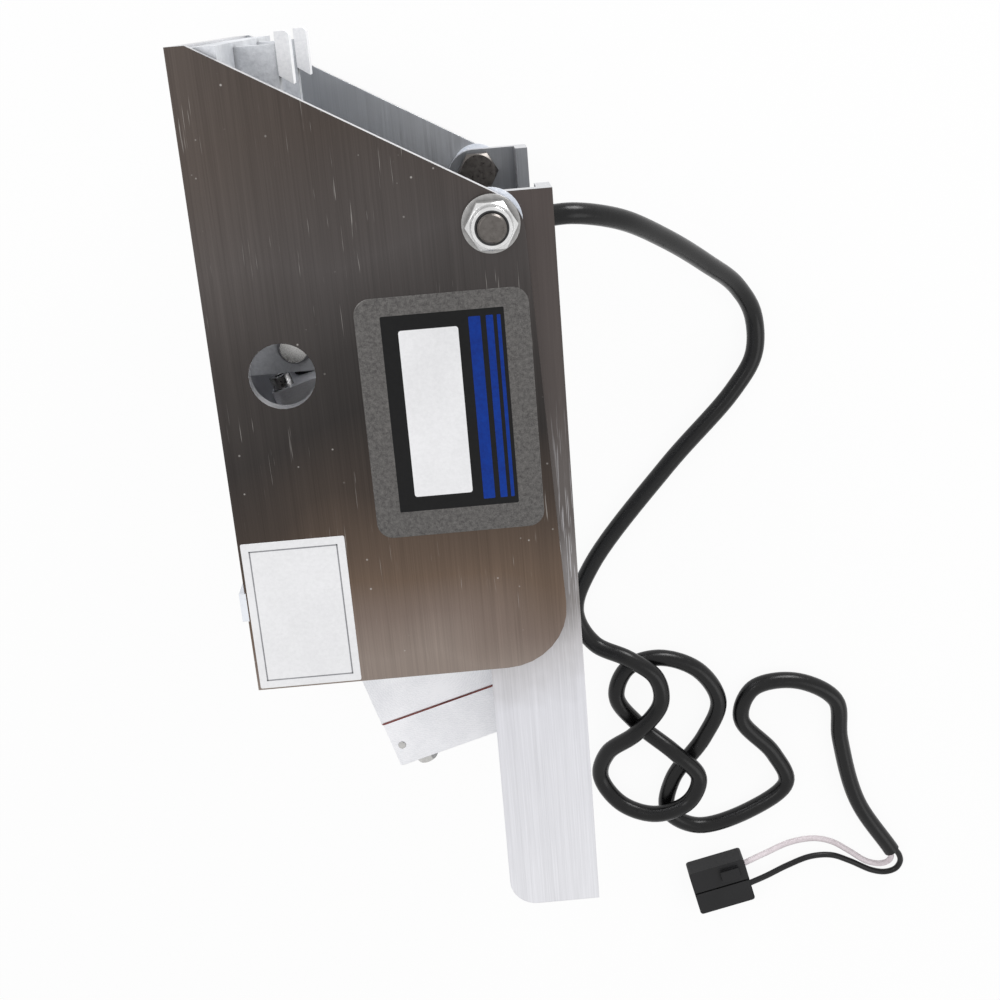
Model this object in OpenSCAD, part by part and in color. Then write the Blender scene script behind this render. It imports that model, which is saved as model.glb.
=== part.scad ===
// Power trim and tilt unit for a small outboard, lying on its side.
// The hinge axis runs along Z, the transom faces +X and the top of the unit points to +Y.
// Shapes are drawn about the hinge axis, at mid width, and at_hinge() puts them in the part's frame.
// The actuator is drawn about the ram pin, with its own length along Y, and in_actuator() leans it.

/* [Motor bracket] */
// Width over the two side plates
motor_w = 210; // [200:1:240]
// Thickness of the bent plate
motor_plate_t = 6.35; // [5:0.05:7]
// Hinge axis to the outer face of the web
motor_setback = 121; // [119:1:135]
// Hinge axis to the top edge
motor_rise = 78; // [74:1:90]
// Hinge axis to the bottom edge
motor_drop = 199; // [190:1:240]
// Short flat at the top of each side plate
top_flat = 8; // [4:1:12]
// Radius of the lower rear corner
lower_corner_r = 28; // [10:1:34]
// Radius of the corner at the hinge
hinge_corner_r = 18; // [14:1:20]
// Diameter of the access holes in line with the ram pin
access_d = 28; // [22:1:34]
// Height of the nylon rub strip on the web
strip_h = 13; // [8:1:20]
// Thickness of the nylon rub strip
strip_t = 2.5; // [1.5:0.5:4]

/* [Transom bracket] */
// Thickness of the legs and of the mounting web
leg_t = 6.35; // [5:0.05:7]
// Hinge axis to the face that lies on the transom
leg_back = 26.5; // [25:0.5:32]
// Hinge axis to the free edge of a leg
leg_front = 16; // [14:0.5:19]
// Hinge axis to the top of a leg
leg_rise = 11.2; // [10:0.1:13]
// Hinge axis to the bottom of a leg
leg_drop = 330; // [310:1:380]
// Width of the lips beside the notch at the top of the web
lip_w = 13; // [8:1:25]
// Diameter of the transom bolt holes
transom_hole_d = 10.5; // [8:0.5:12]
// Transom bolt spacing up the unit
transom_rows = 220; // [180:1:230]
// Transom bolt spacing across the unit
transom_cols = 120; // [90:1:150]

/* [Hinge] */
// Diameter of the hinge bolts
bolt_d = 12; // [10:1:12]
// Width across flats of the bolt heads and nuts
nut_af = 19; // [17:0.5:20]
// Height of a lock nut
nut_h = 12; // [10:0.5:13]
// Height of a bolt head
head_h = 7.5; // [6:0.5:9]
// Diameter of the steel washers
washer_d = 24; // [22:0.5:26]
// Thickness of the steel washers
washer_t = 2; // [1.5:0.1:3]
// Diameter of the nylon washers
nylon_d = 27; // [24:0.5:28]
// Thickness of the nylon washers
nylon_t = 1.6; // [1:0.1:3]

/* [Ram pin and saddle] */
// Hinge axis to the ram pin, across the unit
pin_back = 92; // [88:1:93]
// Hinge axis to the ram pin, down the unit
pin_drop = 56; // [50:1:62]
// Diameter of the ram pin
pin_d = 12.7; // [10:0.1:13]
// Thickness of a saddle cheek
cheek_t = 10; // [8:0.5:13]
// Clear width between the saddle cheeks
saddle_gap = 76; // [72:1:90]
// Thickness of the backing plate behind the top of the web
backing_t = 12.6; // [8:0.1:13]
// Thickness of the clamp pads
pad_t = 6; // [4:0.5:9]
// Width of the clamp pads
pad_w = 12; // [10:0.5:16]

/* [Actuator] */
// Lean of the actuator towards the motor
lean = 16; // [14:0.5:17]
// Ram pin to the trunnion, along the actuator
trunnion_reach = 120; // [116:1:126]
// Cylinder bore
bore_d = 38; // [32:0.5:40]
// Outside diameter of the cylinder barrel
barrel_d = 50; // [46:0.5:51]
// Ram diameter
ram_d = 19; // [16:0.5:20]
// Travel of the ram
ram_stroke = 108; // [100:1:110]
// Thickness of the valve block
block_t = 62; // [58:1:64]
// Ram pin to the top face of the gland cap
cap_reach = 20.6; // [20:0.1:24]
// Depth of the gland cap
gland_cap_h = 20.4; // [18:0.1:24]
// Ram pin to the lower face of the valve block
block_reach = 201; // [196:1:210]
// Thickness of the end cap
end_cap_h = 25.2; // [20:0.1:28]
// Diameter of the pump motor
pump_d = 50; // [44:0.5:51]
// Length of the pump motor's can
pump_h = 58; // [50:1:59]

/* [Power cable] */
// Diameter of the jacketed cable
cable_d = 10.4; // [9:0.1:10.4]
// Diameter of the two leads
lead_d = 3.8; // [3:0.1:4]
// Length of the connector housing
plug_l = 37; // [30:1:40]
// Width of the connector housing
plug_w = 32; // [28:1:36]
// Thickness of the connector housing
plug_t = 14; // [10:0.5:16]

/* [Hidden] */
$fn = 64;

overrun = 1;
fillet_steps = 8;
gap = 0.3;
face_gap = 0.2;
running = 0.08;
sliding = 0.06;
bolt_end = 2;
bolt_chamfer = 0.8;
nut_hex_h = 8;
nut_collar_d = 16.6;
pad_rise = 2;
pad_foot_front = 18;
pad_foot_back = 22;

half_w = motor_w / 2;
plate_in = half_w - motor_plate_t;
leg_out = plate_in - nylon_t - face_gap;
leg_in = leg_out - leg_t;
stack_out = half_w + face_gap + washer_t + nut_h + bolt_end;
web_in = -motor_setback + motor_plate_t;
mount_in = leg_back - leg_t;

mid_z = stack_out;
hinge_x = (motor_setback + strip_t - leg_back) / 2;
hinge_y = (leg_drop - motor_rise - pad_rise) / 2;

// Outline of a motor side plate, about the hinge axis
edge_corner = [13.6, 5.7];
lower_rear_x = 21;
plate_tl = [-motor_setback, motor_rise];
plate_tr = [-motor_setback + top_flat, motor_rise];
plate_br = [lower_rear_x, -motor_drop];
plate_bl = [-motor_setback, -motor_drop];

// Outline of a leg
leg_top_r = 14;
leg_foot_r = 13;
leg_tl = [-leg_front, leg_rise];
leg_tr = [leg_back, leg_rise];
leg_br = [leg_back, -leg_drop];
leg_bl = [-leg_front, -leg_drop];
row_top = 70;

// Rub strip
strip_drop = 152;
strip_seat = 0.5;

// Ram pin, its slot in the rod eye and the saddle
pin = [-pin_back, -pin_drop];
slot_half = 8.6;
slot_r = pin_d / 2 + 2.5;
eye_wall = 4.5;
eye_t = 30;
eye_neck_d = 24;
eye_neck_h = 4;
eye_floor = 2;
cheek_in = saddle_gap / 2;
cheek_out = cheek_in + cheek_t;
cheek_front = -84;
cheek_nose = pin[0] + 15;
cheek_foot = pin[1] - 12;
cheek_step = 36;
cheek_nose_rise = 12;
cheek_top = motor_rise - 3;
backing_foot = 10;
backing_top = motor_rise - 1;
bridge_t = 8.6;
bridge_foot = -25;
spacer_d = 20;
clip_d = 16;
clip_t = 1.2;
clip_root_d = 10.4;
pin_proud = 6;
screw_d = 8;
screw_head_d = 14;
screw_head_h = 3.4;
screw_depth = 6;
bridge_rows = [-16, 0];
bridge_cols = 24;
backing_rows = [26, 60];
backing_cols = 72;

// Actuator, about the ram pin
trunnion = [0, -trunnion_reach];
cap_foot = -cap_reach - gland_cap_h;
block_left = -39.5;
block_right = 36;
shoulder_out = 62;
shoulder_top = -118;
shoulder_h = 17;
shoulder_slope = 15;
block_r = 4;
bore_floor = -block_reach + 5;
gland_w = 46;
gland_depth = 60;
gland_r = 5;
cap_screw_d = 6;
cap_screw_head = 10;
cap_screw_x = 17;
cap_screw_z = 23;
wiper_d = 27;
wiper_h = 5;
wiper_proud = 1;
seal_d = 26;
seal_h = 5;
gasket_t = 0.8;
gasket_proud = 0.4;
end_bolt_af = 10;
end_bolt_h = 6.4;
end_bolt_d = 6;
end_bolt_x = [-26.6, 24];
end_bolt_z = 20;
end_bolt_depth = 40;
plug_at = [-34.3, -216];
plug_d = 3.8;
plug_depth = 6;
plug_proud = 0.3;
trunnion_d = 14;
trunnion_in = block_t / 2 - 8;
trunnion_head_d = 22;
trunnion_head_h = 5;
lug_gap = 1;
lug_t = 8;
lug_r = 15;
lug_top = 140;
lug_foot = 215;
bush_d = 18;
lug_in = block_t / 2 + lug_gap;
lug_out = lug_in + lug_t;

// Pump motor, beside the barrel
pump_x = 52;
pump_foot = shoulder_top;
pump_top = pump_foot + pump_h;
bead_r = 1;
pump_cap_h = 10;
pump_cap_step = 1.5;
pump_screw_d = 5;
pump_screw_head_d = 8;
pump_screw_head_h = 3.2;
pump_screw_pcd = 38;
gland_nut_af = 17;
gland_nut_h = 5;
gland_dome_d = 15;
gland_dome_h = 7;

// Piston at the foot of the bore
piston_foot = bore_floor + 2;
piston_h = 18;
seal_groove_h = 5;
seal_groove_r = 3;
ram_top = -slot_r - eye_floor;

// Cable from the pump's gland to the notch in the transom web
cable_bend_r = 42;
cable_straight = 11;
bend_steps = 6;
gland_top = pump_top + pump_cap_h + gland_nut_h + gland_dome_h;
bend_c = [pump_x + cable_bend_r, gland_top + cable_straight];
bend_at = pin + [bend_c[0] * cos(lean) - bend_c[1] * sin(lean),
    bend_c[0] * sin(lean) + bend_c[1] * cos(lean)];
exit_y = bend_at[1] + cable_bend_r;
grommet_t = 2;
grommet_w = 22;
grommet_hold = 6;
exit_x = leg_back + grommet_t;
notch_floor = exit_y - cable_d / 2 - grommet_t;

// Route of the free cable, about the hinge axis, with heights above the table
cable_route = [[42, -14, 120], [66, -21, 104], [92, -37, 75], [119, -58, 42], [140, -77, 18],
    [151, -97, 7], [151, -120, 5.2], [138, -141, 5.2], [98, -183, 5.2], [49, -243, 5.2],
    [38, -272, 5.2], [48, -293, 8], [68, -302, 15.6], [84, -316, 16.6], [86, -334, 16.6],
    [70, -353, 16.4], [52, -369, 9], [47, -388, 5.2], [59, -406, 10], [80, -412, 16.2],
    [101, -405, 16.6], [108, -388, 16.6], [94, -370, 15.6], [72, -352, 5.2], [60, -332, 5.2],
    [68, -313, 5.2], [88, -308, 5.2], [112, -319, 5.2], [124, -342, 5.2], [114, -366, 5.2],
    [93, -394, 5.2], [89, -417, 5.2], [108, -430, 5.2], [144, -421, 5.2], [166, -404, 5.2],
    [158, -382, 5.2], [138, -355, 5.2], [146, -335, 5.2], [172, -332, 5.2], [198, -348, 5.2],
    [201, -376, 5.2], [212, -422, 5.2], [235, -462, 5.2]];
white_route = [[233.2, -463, 5.2], [235, -467, 4.4], [233.6, -471.4, 3.2], [229, -473.6, 2.2],
    [220, -471.4, 1.9], [207, -461.4, 1.9], [196, -453.6, 1.9], [184, -450, 1.9],
    [168, -451, 2.6], [152, -455.6, 5], [137.2, -460.5, 7]];
black_route = [[236.8, -461, 5.2], [240.4, -467, 4.4], [241.4, -473, 3.2], [238.6, -478.6, 2.2],
    [232, -480.6, 1.9], [223, -478.4, 1.9], [208, -469.6, 1.9], [196, -464, 1.9],
    [182, -463.6, 1.9], [166, -468.4, 2.8], [152, -473.2, 5], [140.8, -476.1, 7]];
sides = 8;

// Connector housing on the table
plug_turn = 13;
plug_c = [121, -472.5];
plug_r = 2;
plug_pitch = 16;
cavity_w = 9;
cavity_h = 3.4;
cavity_l = 14;
seam_w = 1.2;
latch_l = 12;
latch_w = 8;
latch_h = 2.2;
latch_inset = 5;
blade_w = 6.3;
blade_t = 0.8;
blade_l = 11;

steel_col = [0.82, 0.83, 0.85];
plate_col = [0.50, 0.48, 0.47];
alu_col = [0.80, 0.81, 0.83];
cast_col = [0.70, 0.71, 0.73];
nylon_col = [0.93, 0.94, 0.96];
black_col = [0.08, 0.08, 0.09];
gasket_col = [0.40, 0.16, 0.13];
bronze_col = [0.70, 0.52, 0.30];
zinc_col = [0.62, 0.63, 0.65];
lead_col = [0.90, 0.87, 0.88];

function unit(v) = v / norm(v);
function turned(v, a) = [v[0] * cos(a) - v[1] * sin(a), v[0] * sin(a) + v[1] * cos(a)];
function corner_half(p, a, b) = acos(unit(a - p) * unit(b - p)) / 2;
function corner_c(p, a, b, r) = p + unit(unit(a - p) + unit(b - p)) * r / sin(corner_half(p, a, b));
// Points of the fillet of radius r at the corner p, on the way from a to b
function fillet(p, a, b, r) =
    let (c = corner_c(p, a, b, r), reach = r / tan(corner_half(p, a, b)),
        v = p + unit(a - p) * reach - c, w = p + unit(b - p) * reach - c,
        start = atan2(v[1], v[0]), turn = (atan2(w[1], w[0]) - start + 900) % 360 - 180)
    [for (k = [0 : fillet_steps]) c + turned([r, 0], start + k * turn / fillet_steps)];
// Point where the line from p touches the circle of radius r about c, on side s
function touch(p, c, r, s) =
    let (d = norm(c - p)) p + turned(unit(c - p), s * asin(r / d)) * sqrt(d * d - r * r);

module at_hinge() {
    translate([hinge_x, hinge_y, mid_z]) children();
}

module in_actuator() {
    at_hinge() translate(pin) rotate([0, 0, lean]) children();
}

module both_sides() {
    children();
    mirror([0, 0, 1]) children();
}

// A plate of the outline that is its child, from z0 to z1
module slab(z0, z1) {
    translate([0, 0, z0]) linear_extrude(z1 - z0) children();
}

// A cylinder along Y
module bar_y(d, y0, y1) {
    translate([0, y0, 0]) rotate([-90, 0, 0]) cylinder(d = d, h = y1 - y0);
}

module rounded(w, h, r) {
    at = [[-w, -h] / 2, [w, -h] / 2, [w, h] / 2, [-w, h] / 2];
    polygon([for (i = [0 : 3]) each fillet(at[i], at[(i + 3) % 4], at[(i + 1) % 4], r)]);
}

// A hexagon with its outer corners turned down at the top
module hex_head(af, h) {
    corner_d = af / cos(30);
    intersection() {
        cylinder(d = corner_d, h = h, $fn = 6);
        union() {
            cylinder(d = corner_d + overrun, h = h - corner_d / 12);
            translate([0, 0, h - corner_d / 12])
                cylinder(d1 = corner_d, d2 = af - corner_d / 24, h = corner_d / 12);
        }
    }
}

// Transom bracket

module leg_outline() {
    polygon(concat(fillet(leg_tl, leg_bl, leg_tr, leg_top_r), [leg_tr, leg_br],
        fillet(leg_bl, leg_br, leg_tl, leg_foot_r)));
}

module transom_web() {
    difference() {
        translate([mount_in, -leg_drop, -leg_in - overrun])
            cube([leg_t, leg_drop + leg_rise, 2 * (leg_in + overrun)]);
        translate([mount_in - overrun, notch_floor, -leg_in + lip_w])
            cube([leg_t + 2 * overrun, leg_rise - notch_floor + overrun, 2 * (leg_in - lip_w)]);
        for (y = [-row_top, -row_top - transom_rows], z = [-1, 1])
            translate([mount_in - overrun, y, z * transom_cols / 2]) rotate([0, 90, 0])
                cylinder(d = transom_hole_d, h = leg_t + 2 * overrun);
    }
}

module transom_bracket() {
    color(alu_col) at_hinge() union() {
        transom_web();
        both_sides() difference() {
            slab(leg_in, leg_out) leg_outline();
            translate([0, 0, leg_in - overrun]) cylinder(d = bolt_d, h = leg_t + 2 * overrun);
        }
    }
}

module lug_outline() {
    at = pin + turned(trunnion, lean);
    top = [mount_in, -lug_top];
    foot = [mount_in, -lug_foot];
    union() {
        translate(at) circle(lug_r);
        polygon([top, touch(top, at, lug_r, -1), at, touch(foot, at, lug_r, 1), foot]);
    }
}

module trunnion_lugs() {
    at = pin + turned(trunnion, lean);
    color(alu_col) at_hinge() both_sides() difference() {
        slab(lug_in, lug_out) lug_outline();
        translate([at[0], at[1], lug_in - overrun]) cylinder(d = bush_d, h = lug_t + 2 * overrun);
    }
}

module trunnion_bushes() {
    color(bronze_col) in_actuator() translate(trunnion) both_sides() slab(lug_in, lug_out)
        difference() {
            circle(d = bush_d);
            circle(d = trunnion_d + 2 * running);
        }
}

// Hinge

module hinge_bolts() {
    color(steel_col) at_hinge() both_sides() {
        translate([0, 0, leg_in]) mirror([0, 0, 1]) hex_head(nut_af, head_h);
        translate([0, 0, leg_in]) cylinder(d = bolt_d, h = stack_out - leg_in - bolt_chamfer);
        translate([0, 0, stack_out - bolt_chamfer])
            cylinder(d1 = bolt_d, d2 = bolt_d - 2 * bolt_chamfer, h = bolt_chamfer);
    }
}

module hinge_nuts() {
    foot = half_w + face_gap + washer_t;
    color(steel_col) at_hinge() both_sides() translate([0, 0, foot]) difference() {
        union() {
            hex_head(nut_af, nut_hex_h);
            cylinder(d = nut_collar_d, h = nut_h);
        }
        translate([0, 0, -overrun]) cylinder(d = bolt_d, h = nut_h + 2 * overrun);
    }
}

module washer(d, hole, z0, t) {
    slab(z0, z0 + t) difference() {
        circle(d = d);
        circle(d = hole);
    }
}

module hinge_washers() {
    color(steel_col) at_hinge() both_sides()
        washer(washer_d, bolt_d + 2 * running, half_w + face_gap, washer_t);
}

module nylon_washers() {
    color(nylon_col) at_hinge() both_sides()
        washer(nylon_d, bolt_d + 2 * running, leg_out, nylon_t);
}

// Motor bracket

module side_outline() {
    difference() {
        polygon(concat([plate_tl, plate_tr],
            fillet(edge_corner, plate_tr, plate_br, hinge_corner_r),
            fillet(plate_br, edge_corner, plate_bl, lower_corner_r), [plate_bl]));
        translate(pin) circle(d = access_d);
        circle(d = bolt_d + 2 * running);
    }
}

module screw_places() {
    for (y = bridge_rows, z = [-1, 1])
        translate([-motor_setback, y, z * bridge_cols]) rotate([0, 90, 0]) children();
    for (y = backing_rows, z = [-1, 1])
        translate([-motor_setback, y, z * backing_cols]) rotate([0, 90, 0]) children();
}

module web_screw(grow) {
    cylinder(d1 = screw_head_d + 2 * grow, d2 = screw_d + 2 * grow, h = screw_head_h);
    cylinder(d = screw_d + 2 * grow, h = motor_plate_t + screw_depth + grow);
}

module motor_bracket() {
    color(plate_col) at_hinge() difference() {
        union() {
            translate([-motor_setback, -motor_drop, -plate_in - overrun])
                cube([motor_plate_t, motor_drop + motor_rise, 2 * (plate_in + overrun)]);
            both_sides() slab(plate_in, half_w) side_outline();
        }
        screw_places() web_screw(face_gap);
        translate([-motor_setback - overrun, -strip_drop - strip_h - face_gap, -motor_w])
            cube([overrun + strip_seat, strip_h + 2 * face_gap, 2 * motor_w]);
    }
}

module backing_plate() {
    color(cast_col) at_hinge() difference() {
        translate([web_in, backing_foot, -plate_in + gap])
            cube([backing_t, backing_top - backing_foot, 2 * (plate_in - gap)]);
        screw_places() web_screw(face_gap);
    }
}

module cheek_outline() {
    back = web_in + backing_t;
    foot = [web_in, cheek_foot];
    nose = [cheek_nose, pin[1] + cheek_nose_rise];
    difference() {
        polygon(concat([[back, cheek_top], [cheek_front, cheek_top],
            [cheek_front, pin[1] + cheek_step], nose],
            fillet([cheek_nose, cheek_foot], nose, foot, eye_wall),
            [foot, [web_in, backing_foot - gap], [back, backing_foot - gap]]));
        translate(pin) circle(d = pin_d);
    }
}

module pin_saddle() {
    color(cast_col) at_hinge() difference() {
        union() {
            both_sides() slab(cheek_in, cheek_out) cheek_outline();
            translate([web_in, bridge_foot, -cheek_in - overrun])
                cube([bridge_t, backing_foot - gap - bridge_foot, saddle_gap + 2 * overrun]);
        }
        screw_places() web_screw(face_gap);
    }
}

module clamp_pads() {
    z0 = (cheek_in + cheek_out - pad_w) / 2;
    top = motor_rise + pad_rise;
    back_top = [cheek_front, top];
    front_foot = [cheek_front + pad_t, top - pad_foot_back];
    color(nylon_col) at_hinge() both_sides() slab(z0, z0 + pad_w)
        polygon(concat([back_top], fillet([cheek_front + pad_t, top], back_top, front_foot, pad_rise),
            [front_foot, [cheek_front, top - pad_foot_front]]));
}

module rub_strip() {
    color(nylon_col) at_hinge() translate([-motor_setback - strip_t, -strip_drop - strip_h, -half_w])
        cube([strip_t + strip_seat, strip_h, motor_w]);
}

module web_screws() {
    color(steel_col) at_hinge() screw_places() web_screw(0);
}

module pivot_pin() {
    end = cheek_out + pin_proud;
    groove = cheek_out + face_gap;
    color(steel_col) at_hinge() translate(pin) difference() {
        translate([0, 0, -end]) cylinder(d = pin_d, h = 2 * end);
        both_sides() slab(groove, groove + clip_t) difference() {
            circle(d = pin_d + overrun);
            circle(d = clip_root_d);
        }
    }
}

module pin_clips() {
    color(zinc_col) at_hinge() translate(pin) both_sides()
        washer(clip_d, clip_root_d, cheek_out + face_gap, clip_t);
}

module pin_spacers() {
    foot = eye_t / 2 + gap;
    color(nylon_col) at_hinge() translate(pin) both_sides()
        washer(spacer_d, pin_d, foot, cheek_in - foot);
}

// Actuator

module block_outline() {
    bl = [block_left, -block_reach];
    tr = [shoulder_out, shoulder_top];
    polygon(concat(fillet([block_left, shoulder_top], bl, tr, block_r),
        [tr, [shoulder_out, shoulder_top - shoulder_h],
        [block_right, shoulder_top - shoulder_h - shoulder_slope], [block_right, -block_reach], bl]));
}

module valve_block() {
    color(alu_col) in_actuator() difference() {
        union() {
            slab(-block_t / 2, block_t / 2) block_outline();
            bar_y(barrel_d, shoulder_top - overrun, cap_foot);
        }
        bar_y(bore_d, bore_floor, cap_foot + overrun);
        translate(trunnion) both_sides()
            translate([0, 0, trunnion_in]) cylinder(d = trunnion_d, h = block_t);
        for (x = end_bolt_x, z = [-1, 1]) translate([x, 0, z * end_bolt_z])
            bar_y(end_bolt_d, -block_reach - overrun, -block_reach - end_cap_h + end_bolt_depth);
    }
}

module cap_screw_places() {
    for (x = [-1, 1], z = [-1, 1]) translate([x * cap_screw_x, 0, z * cap_screw_z]) children();
}

module gland_cap() {
    color(alu_col) in_actuator() difference() {
        translate([0, cap_foot, 0]) rotate([-90, 0, 0])
            linear_extrude(gland_cap_h) rounded(gland_w, gland_depth, gland_r);
        bar_y(ram_d + 2 * sliding, cap_foot - overrun, -cap_reach + overrun);
        bar_y(wiper_d, -cap_reach - wiper_h, -cap_reach + overrun);
        bar_y(seal_d, cap_foot - overrun, cap_foot + seal_h);
        cap_screw_places() bar_y(cap_screw_d, cap_foot - overrun, -cap_reach + overrun);
    }
}

module cap_screws() {
    color(steel_col) in_actuator() cap_screw_places() difference() {
        union() {
            bar_y(cap_screw_d, cap_foot, -cap_reach);
            bar_y(cap_screw_head, -cap_reach, -cap_reach + cap_screw_d);
        }
        translate([0, -cap_reach + cap_screw_d / 2, 0]) rotate([-90, 0, 0])
            cylinder(d = cap_screw_head / 2, h = cap_screw_d, $fn = 6);
    }
}

module rod_ring(d, y0, y1) {
    difference() {
        bar_y(d, y0, y1);
        bar_y(ram_d + 2 * sliding, y0 - overrun, y1 + overrun);
    }
}

module rod_wiper() {
    color(black_col) in_actuator()
        rod_ring(wiper_d, -cap_reach - wiper_h, -cap_reach + wiper_proud);
}

module rod_seal() {
    color(black_col) in_actuator() rod_ring(seal_d, cap_foot, cap_foot + seal_h);
}

module end_layer(y0, h, grow) {
    mid = (block_left + block_right) / 2;
    wide = block_right - block_left + 2 * grow;
    translate([mid, y0, 0]) rotate([-90, 0, 0])
        linear_extrude(h) rounded(wide, block_t + 2 * grow, block_r / 2);
}

module end_gasket() {
    color(gasket_col) in_actuator() difference() {
        end_layer(-block_reach - gasket_t, gasket_t, gasket_proud);
        end_bolt_holes();
    }
}

module end_bolt_holes() {
    for (x = end_bolt_x, z = [-1, 1]) translate([x, 0, z * end_bolt_z])
        bar_y(end_bolt_d, -block_reach - end_cap_h - 2 * overrun, -block_reach + overrun);
}

module end_cap() {
    color(alu_col) in_actuator() difference() {
        end_layer(-block_reach - gasket_t - end_cap_h, end_cap_h, 0);
        end_bolt_holes();
        translate([plug_at[0], plug_at[1], block_t / 2 - plug_depth])
            cylinder(d = plug_d, h = block_t);
    }
}

module end_cap_bolts() {
    foot = -block_reach - gasket_t - end_cap_h;
    color(steel_col) in_actuator()
        for (x = end_bolt_x, z = [-1, 1]) translate([x, 0, z * end_bolt_z]) {
            translate([0, foot, 0]) rotate([90, 0, 0]) hex_head(end_bolt_af, end_bolt_h);
            bar_y(end_bolt_d, foot, foot + end_bolt_depth - overrun);
        }
}

module cap_plug() {
    color(steel_col) in_actuator() translate([plug_at[0], plug_at[1], block_t / 2 - plug_depth])
        cylinder(d = plug_d, h = plug_depth + plug_proud);
}

module trunnion_pins() {
    color(steel_col) in_actuator() translate(trunnion) both_sides() {
        slab(trunnion_in, lug_out + gap) circle(d = trunnion_d);
        slab(lug_out + gap, lug_out + gap + trunnion_head_h) circle(d = trunnion_head_d);
    }
}

module pump_motor() {
    r = pump_d / 2;
    color(black_col) in_actuator() translate([pump_x, pump_foot, 0]) rotate([-90, 0, 0])
        difference() {
            rotate_extrude() difference() {
                square([r, pump_h]);
                for (y = [pump_h / 8, pump_h * 7 / 8]) translate([r, y]) circle(bead_r);
            }
            pump_screw_places() translate([0, 0, pump_h - pump_cap_h])
                cylinder(d = pump_screw_d, h = pump_h);
        }
}

module pump_screw_places() {
    for (s = [-1, 1]) translate([0, s * pump_screw_pcd / 2, 0]) children();
}

module pump_end_cap() {
    r = pump_d / 2;
    color(cast_col) in_actuator() translate([pump_x, pump_top, 0]) rotate([-90, 0, 0])
        difference() {
            rotate_extrude() polygon([[0, 0], [r, 0], [r, pump_cap_h / 2],
                [r - pump_cap_step, pump_cap_h / 2], [r - 2 * pump_cap_step, pump_cap_h],
                [0, pump_cap_h]]);
            pump_screw_places() translate([0, 0, -overrun])
                cylinder(d = pump_screw_d, h = pump_cap_h + 2 * overrun);
        }
}

module pump_screws() {
    color(steel_col) in_actuator() translate([pump_x, pump_top, 0]) rotate([-90, 0, 0])
        pump_screw_places() {
            translate([0, 0, -pump_cap_h]) cylinder(d = pump_screw_d, h = 2 * pump_cap_h);
            translate([0, 0, pump_cap_h])
                cylinder(d = pump_screw_head_d, h = pump_screw_head_h);
        }
}

module cable_gland() {
    color(black_col) in_actuator() translate([pump_x, pump_top + pump_cap_h, 0])
        rotate([-90, 0, 0]) union() {
            cylinder(d = gland_nut_af / cos(30), h = gland_nut_h, $fn = 6);
            translate([0, 0, gland_nut_h])
                cylinder(d1 = gland_dome_d, d2 = cable_d + pump_cap_step, h = gland_dome_h);
        }
}

module ram() {
    color(steel_col) in_actuator() bar_y(ram_d, piston_foot, ram_top);
}

module piston() {
    groove = piston_foot + (piston_h - seal_groove_h) / 2;
    color(alu_col) in_actuator() difference() {
        bar_y(bore_d - 2 * sliding, piston_foot, piston_foot + piston_h);
        bar_y(ram_d, piston_foot - overrun, piston_foot + piston_h + overrun);
        difference() {
            bar_y(bore_d, groove, groove + seal_groove_h);
            bar_y(bore_d - 2 * seal_groove_r, groove - overrun, groove + seal_groove_h + overrun);
        }
    }
}

module piston_seal() {
    groove = piston_foot + (piston_h - seal_groove_h) / 2;
    color(black_col) in_actuator() difference() {
        bar_y(bore_d - 2 * sliding, groove, groove + seal_groove_h);
        bar_y(bore_d - 2 * seal_groove_r, groove - overrun, groove + seal_groove_h + overrun);
    }
}

// The slot gives the pin room, because the ram keeps a constant ratio to the tilt
module slot_outline(r) {
    translate([-slot_half, 0]) circle(r);
    translate([slot_half, 0]) circle(r);
    square([2 * slot_half, 2 * r], center = true);
}

module rod_eye() {
    foot = -slot_r - eye_wall - eye_neck_h;
    color(steel_col) in_actuator() difference() {
        union() {
            slab(-eye_t / 2, eye_t / 2) slot_outline(slot_r + eye_wall);
            bar_y(eye_neck_d, foot, -slot_r - eye_floor);
        }
        slab(-eye_t, eye_t) slot_outline(slot_r);
        bar_y(ram_d, foot - overrun, ram_top);
    }
}

// Cable, leads and connector

module edge_grommet() {
    color(black_col) at_hinge() difference() {
        translate([mount_in - grommet_t, notch_floor - grommet_hold, -grommet_w / 2])
            cube([leg_t + grommet_t, exit_y - notch_floor + grommet_hold, grommet_w]);
        translate([mount_in, notch_floor - grommet_hold - overrun, -grommet_w])
            cube([leg_t, grommet_hold + overrun, 2 * grommet_w]);
        translate([mount_in - cable_d, exit_y, 0]) rotate([0, 90, 0])
            cylinder(d = cable_d, h = leg_t + 2 * cable_d);
    }
}

// A tube with a ring at each point of the route, square to it
function along(pts, i) = unit(pts[min(i + 1, len(pts) - 1)] - pts[max(i - 1, 0)]);
function side_of(t) = unit(cross(t, [0, 0, 1]));
function ring(c, t, d) = let (a = side_of(t), b = cross(a, t))
    [for (k = [0 : sides - 1]) c + (a * cos(k * 360 / sides) + b * sin(k * 360 / sides)) * d / 2];
module tube(pts, d, first, last) {
    n = len(pts);
    rings = [for (i = [0 : n - 1])
        each ring(pts[i], i == 0 ? first : i == n - 1 ? last : along(pts, i), d)];
    walls = [for (i = [0 : n - 2], k = [0 : sides - 1], half = [0, 1])
        let (a = i * sides + k, b = i * sides + (k + 1) % sides)
        half == 0 ? [a, b, b + sides] : [a, b + sides, a + sides]];
    fans = [for (k = [1 : sides - 2], end = [0, 1])
        let (o = end * (n - 1) * sides)
        end == 0 ? [o, o + k + 1, o + k] : [o, o + k, o + k + 1]];
    polyhedron(points = rings, faces = concat(walls, fans));
}

module on_table() {
    translate([hinge_x, hinge_y, 0]) children();
}

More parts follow.
